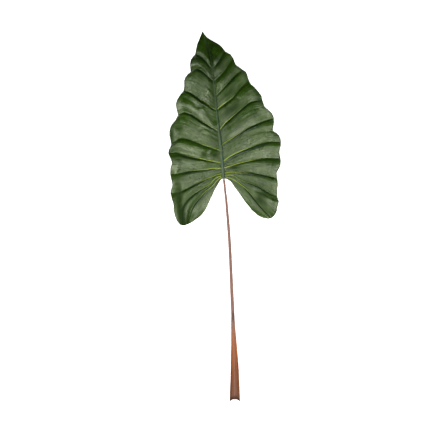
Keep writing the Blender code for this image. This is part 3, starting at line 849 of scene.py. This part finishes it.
def bladeSkin():
    skin, look = Skin("leafGreen"), bladeLook
    along, rowAt = skin.fact("along"), skin.fact("rowAt")
    midribGap, half = skin.fact("midribGap"), skin.fact("half")
    skin.colour = look["deep"]
    skin.paint(look["leaf"], skin.span(skin.noise(look["broadScale"], 4), 0.35, 0.68))
    mottle = skin.span(skin.noise(look["mottleScale"], 5, 0.6), 0.45, 0.75)
    skin.paint(look["light"], mottle, 0.6)
    # Fine side veins run between the main ones, with dark streaks among them
    fine = skin.drawnOut(along, rowAt, look["fineVeins"], 1.0, 4, 0.6)
    skin.paint(look["light"], skin.span(fine, 0.5, 0.62), 0.8)
    streak = skin.drawnOut(along, rowAt, look["streaks"], 1.0, 3, 0.6)
    skin.paint(look["streak"], skin.span(streak, 0.48, 0.7, 0.0, 0.6))
    # Painted shade: the tip is darker, as if turned away from the light
    tipShadeMottle = skin.span(skin.noise(look["tipShadeScale"], 4, 0.6), 0.4, 0.62, 1.0, 0.5)
    skin.paint(look["tip"], skin.span(rowAt, 0.6, 3.6, 0.85, 0.0), tipShadeMottle)
    skin.paint(look["strip"], skin.fact("strip"), 0.6)
    # Painted shade: the groove under each vein is darkened
    skin.paint(look["groove"], skin.fact("groove"), 0.8)
    # Main veins fade on their way out: later low on the blade, sooner on the lobes
    rib = skin.span(skin.fact("rib"), 0.2, 0.7)
    fade = skin.span(along, 0.2, 0.62, 0.8, 0.08)
    lowFade = skin.span(along, 0.3, 0.85, 0.9, 0.12)
    lobeFade = skin.span(along, 0.28, 0.58, 0.95, 0.06)
    fade = skin.between(skin.span(rowAt, 6.5, 8.0), fade, lowFade)
    fade = skin.between(skin.span(rowAt, 9.4, 9.7), fade, lobeFade)
    onLeft = skin.span(half, -0.5, 0.0, 1.0, 0.0)
    leftUpper = skin.times(onLeft, skin.span(rowAt, 5.5, 7.8, 0.65, 0.0))
    fade = skin.times(fade, skin.rest(leftUpper))
    # Near the tip they are painted as pale highlights along their crests instead
    yellow = skin.span(rowAt, 2.6, 4.2, 0.06, 1.0)
    skin.paint(look["vein"], rib, fade, yellow)
    skin.paint(look["crestHighlight"], rib, skin.rest(yellow), skin.span(along, 0.3, 0.95, 0.75, 0.2))
    # The midrib, the painted shade beside it and the painted highlight along its left edge
    midrib = skin.span(midribGap, 0.5, 0.72, 1.0, 0.0)
    skin.paint(look["midrib"], midrib, skin.span(rowAt, 0.8, 8.0, 0.1, 1.0))
    shadeBeside = skin.span(midribGap, 1.2, 1.9, 0.8, 0.0)
    skin.paint(look["groove"], skin.span(midribGap, 0.7, 0.95), shadeBeside)
    rimHighlight = skin.times(
        skin.span(midribGap, 0.55, 0.75), skin.span(midribGap, 0.95, 1.25, 1.0, 0.0),
        skin.span(half, -0.5, 0.0, 0.7, 0.0), skin.span(rowAt, 2.0, 8.0, 0.25, 1.0),
    )
    skin.paint(look["rimHighlight"], rimHighlight)
    skin.paint(look["underside"], skin.fact("underside"), 0.6)
    # Painted shade: the matte patches are darkened as well as made rougher
    matteShadeMottle = skin.span(skin.noise(look["matteShadeScale"], 3), 0.3, 0.6, 0.6, 1.0)
    dull = skin.math("MULTIPLY", skin.fact("dull"), matteShadeMottle, clamp=True)
    skin.paint(look["dull"], dull, 0.85)
    skin.give("Base Color", skin.colour)
    gloss, mean = skin.noise(look["glossScale"], 3), look["roughness"]
    rough = skin.span(gloss, 0.3, 0.7, mean - 0.05, mean + 0.07)
    rough = skin.math("ADD", rough, skin.times(dull, look["matteRoughness"]), clamp=True)
    skin.give("Roughness", rough)
    skin.give("IOR", look["ior"])
    skin.give("Specular Tint", look["sheenTint"])
    creased = skin.drawnOut(along, rowAt, look["wrinkles"], 1.0, 3, 0.5)
    normal = skin.bump(creased, *look["wrinkleBump"])
    normal = skin.bump(fine, *look["fineBump"], normal)
    normal = skin.bump(streak, *look["streakBump"], normal)
    normal = skin.bump(skin.noise(look["grainScale"], 3), *look["grainBump"], normal)
    skin.give("Normal", normal)
    return skin.material


stemLook = {
    "pink": (0.30, 0.168, 0.128),
    "brown": (0.165, 0.083, 0.059),
    "orange": (0.41, 0.130, 0.036),
    "rust": (0.23, 0.072, 0.026),
    "line": (0.085, 0.034, 0.020),
    # painted shade inside the sheath's hollow
    "hollowShade": (0.17, 0.062, 0.026),
    "foot": (0.15, 0.065, 0.036),
    "dark": (0.04, 0.017, 0.01),
    # painted highlight, along the middle and on the crest
    "greyHighlight": (0.22, 0.14, 0.12),
    "roughness": 0.55,
    "specular": 0.15,
    "speckScale": 500,
    # How closely these are packed around the stem and down it
    "streaks": (5.0, 0.03),
    "lines": (9.0, 0.012),
    "bump": (0.0006, 0.6),  # metres, strength
}


def stemSkin():
    skin, look = Skin("stemBrown"), stemLook
    cross, rowAt, innerFace = skin.fact("crossAt"), skin.fact("rowAt"), skin.fact("innerFace")
    aside = skin.math("ABSOLUTE", cross)
    # Pinkish brown stem, orange sheath, both streaked, and a painted grey highlight along the
    # middle
    streak = skin.drawnOut(cross, rowAt, look["streaks"], 1.6, 4, 0.6)
    skin.colour = look["brown"]
    skin.paint(look["pink"], skin.span(streak, 0.35, 0.7))
    warm = skin.blend(skin.span(streak, 0.3, 0.65), look["rust"], look["orange"])
    skin.paint(warm, skin.span(rowAt, 322, 345))
    middle = skin.span(aside, 0.15, 0.55, 1.0, 0.0)
    skin.paint(look["greyHighlight"], middle, skin.span(rowAt, 322, 345, 0.28, 0.05))
    # The sheath's hollow, darkened with painted shade, dark lines and the darker foot
    deepest = skin.span(aside, 0.3, 0.75, 0.6, 0.0)
    skin.paint(look["hollowShade"], innerFace, skin.fact("opened"), deepest)
    lines = skin.drawnOut(cross, rowAt, look["lines"], 1.0, 2, 0.5)
    darkLine = skin.span(lines, 0.52, 0.6)
    skin.paint(look["line"], darkLine, skin.span(rowAt, 318, 340, 0.35, 0.8))
    skin.paint(look["foot"], skin.span(rowAt, 358, 398, 0.0, 0.85))
    # A dark knot where the sheath starts, and specks all over
    knot = skin.times(skin.span(rowAt, 308, 315), skin.span(rowAt, 318, 324, 1.0, 0.0))
    skin.paint(look["dark"], knot, 0.6)
    speck = skin.span(skin.noise(look["speckScale"], 3), 0.55, 0.75)
    skin.paint(look["dark"], speck, 0.35)
    # Two dark grooves with a painted grey highlight along the crest between them
    fromGroove = skin.math("ABSOLUTE", skin.math("SUBTRACT", aside, 0.2))
    grooves = skin.span(fromGroove, 0.02, 0.09, 0.7, 0.0)
    skin.paint(look["line"], grooves, skin.span(rowAt, 348, 376))
    crestHighlight = skin.span(aside, 0.0, 0.11, 0.55, 0.0)
    skin.paint(look["greyHighlight"], crestHighlight, skin.span(rowAt, 326, 340))
    # Painted shade inside the hollow at the cut end
    skin.paint(look["dark"], skin.span(rowAt, 396.5, 399.5), innerFace, 0.85)  # the cut
    skin.give("Base Color", skin.colour)
    mean = look["roughness"]
    skin.give("Roughness", skin.span(streak, 0.3, 0.7, mean - 0.06, mean + 0.08))
    skin.give("Specular IOR Level", look["specular"])
    normal = skin.bump(streak, *look["bump"])
    skin.give("Normal", skin.bump(lines, *look["bump"], normal))
    return skin.material


# Stage: pale floor, camera straight above, soft lights

stage = {
    "floorSize": 14,
    "floorLevel": -0.0005,
    "floorColour": (0.93, 0.93, 0.93),
    "floorRoughness": 0.9,
    "floorGlow": 0.85,
    "cameraHeight": 5.0,
    "sensorWidth": 36,
    "farthest": 50,
    "worldLight": 0.01,
    # Place, size, power, what it points at
    "lights": [
        ((-1.8, -1.6, 4.0), 2.2, 178, (0, 0.2, 0)),
        ((1.9, -1.6, 4.0), 2.2, 160, (0, 0.2, 0)),
        ((0.0, -1.2, 4.2), 1.4, 12, (0, 0.1, 0)),
        ((-2.3, -0.55, 1.8), 0.8, 15, (0, 0.3, 0)),
        ((2.3, -0.65, 1.8), 0.8, 13, (0, 0.3, 0)),
    ],
}


def setStage():
    deselectAll()
    bpy.ops.mesh.primitive_plane_add(
        size=stage["floorSize"], location=(0, 0, stage["floorLevel"])
    )
    floor = bpy.context.object
    floor.name = "paleFloor"
    skin = Skin("paleFloor")
    skin.give("Base Color", stage["floorColour"])
    skin.give("Roughness", stage["floorRoughness"])
    skin.give("Emission Color", (1, 1, 1))
    skin.give("Emission Strength", stage["floorGlow"])
    floor.data.materials.append(skin.material)
    for place, size, power, target in stage["lights"]:
        bpy.ops.object.light_add(type="AREA", location=place)
        light = bpy.context.object
        light.data.shape = "DISK"
        light.data.size = size
        light.data.energy = power
        aim = np.array(target, float) - np.array(place, float)
        flat = math.hypot(aim[0], aim[1])
        light.rotation_euler = (math.atan2(flat, -aim[2]), 0, math.atan2(-aim[0], aim[1]))
    bpy.context.scene.view_settings.view_transform = "Standard"
    world = bpy.data.worlds.new("softRoom")
    world.use_nodes = True
    world.node_tree.nodes["Background"].inputs[0].default_value = (1, 1, 1, 1)
    world.node_tree.nodes["Background"].inputs[1].default_value = stage["worldLight"]
    bpy.context.scene.world = world


def setCamera():
    high, sensor = stage["cameraHeight"], stage["sensorWidth"]
    middle = toWorld((pictureSize / 2, pictureSize / 2))
    bpy.ops.object.camera_add(location=(middle[0], middle[1], high))
    camera = bpy.context.object
    camera.rotation_euler = (0, 0, 0)
    camera.data.sensor_width = sensor
    camera.data.lens = sensor * high / (pictureSize * metresPerPoint)
    camera.data.clip_end = stage["farthest"]
    bpy.context.scene.camera = camera


leafSkin = makeBlade()
leafSkin.data.materials.append(bladeSkin())
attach(leafSkin, "root")
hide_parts("leaf_blade")
print("blade made:", len(leafSkin.data.polygons), "faces")

leafStem = makeStem()
leafStem.data.materials.append(stemSkin())
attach(leafStem, "root")
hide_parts("petiole")
print("stem made:", len(leafStem.data.polygons), "faces")

setStage()
setCamera()
print("stage and camera set")
